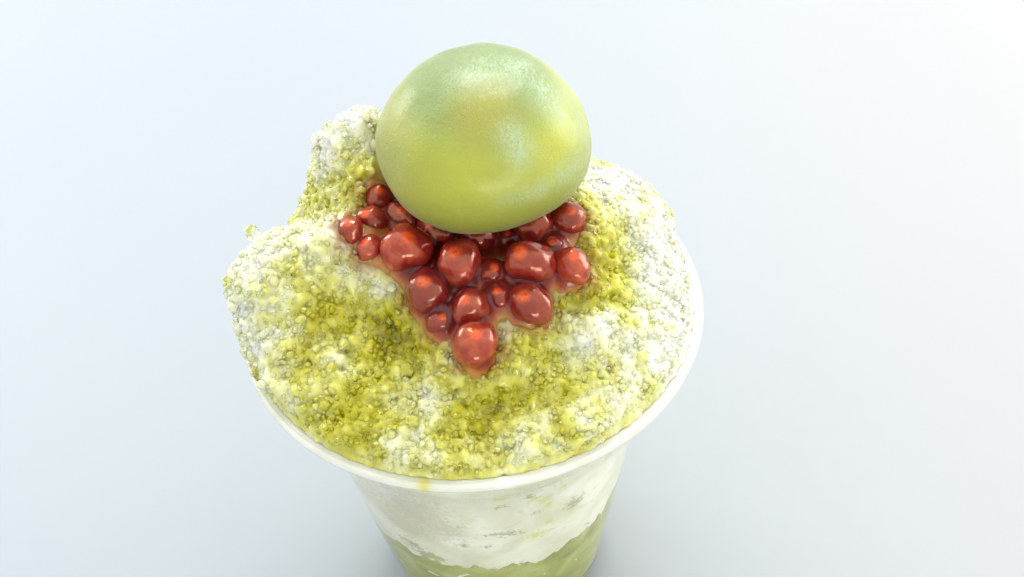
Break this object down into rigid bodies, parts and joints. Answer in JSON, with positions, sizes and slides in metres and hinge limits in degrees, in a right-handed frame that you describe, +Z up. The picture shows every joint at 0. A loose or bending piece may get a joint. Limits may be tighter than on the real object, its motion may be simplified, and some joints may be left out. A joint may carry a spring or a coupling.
{
  "type": "kakigori",
  "caption": "Green tea shaved ice heaped in a clear flared plastic cup, with sweet red beans in syrup and a plump green rice cake on top.",
  "frame": {"origin": "centre of the cup's footprint, on the surface that the cup stands on", "axes": "+Z up along the cup's axis; +Y away from the served front, where the beans run down; +X to the right seen from the front"},
  "size_m": [0.0986, 0.098, 0.1383],
  "materials": {
    "cup": "thin clear plastic, slightly milky at the lip",
    "ice": "wet coarse shaved ice soaked with green tea syrup",
    "green_layer": "wet slush soaked with green tea",
    "bean_syrup": "clear glossy red-brown syrup",
    "bean": "glossy candied red bean",
    "rice_cake": "soft satin rice dough"
  },
  "bodies": {
    "root": {"cup": "cup", "green_layer": "green_layer", "ice": "ice", "bean_syrup": "bean_syrup", "rice_cake": "rice_cake", "bean_01": "bean", "bean_02": "bean", "bean_03": "bean", "bean_04": "bean", "bean_05": "bean", "bean_06": "bean", "bean_07": "bean", "bean_08": "bean", "bean_09": "bean", "bean_10": "bean", "bean_11": "bean", "bean_12": "bean", "bean_13": "bean", "bean_14": "bean", "bean_15": "bean", "bean_16": "bean", "bean_17": "bean", "bean_18": "bean", "bean_19": "bean", "bean_20": "bean", "bean_21": "bean", "bean_22": "bean"}
  },
  "joints": []
}
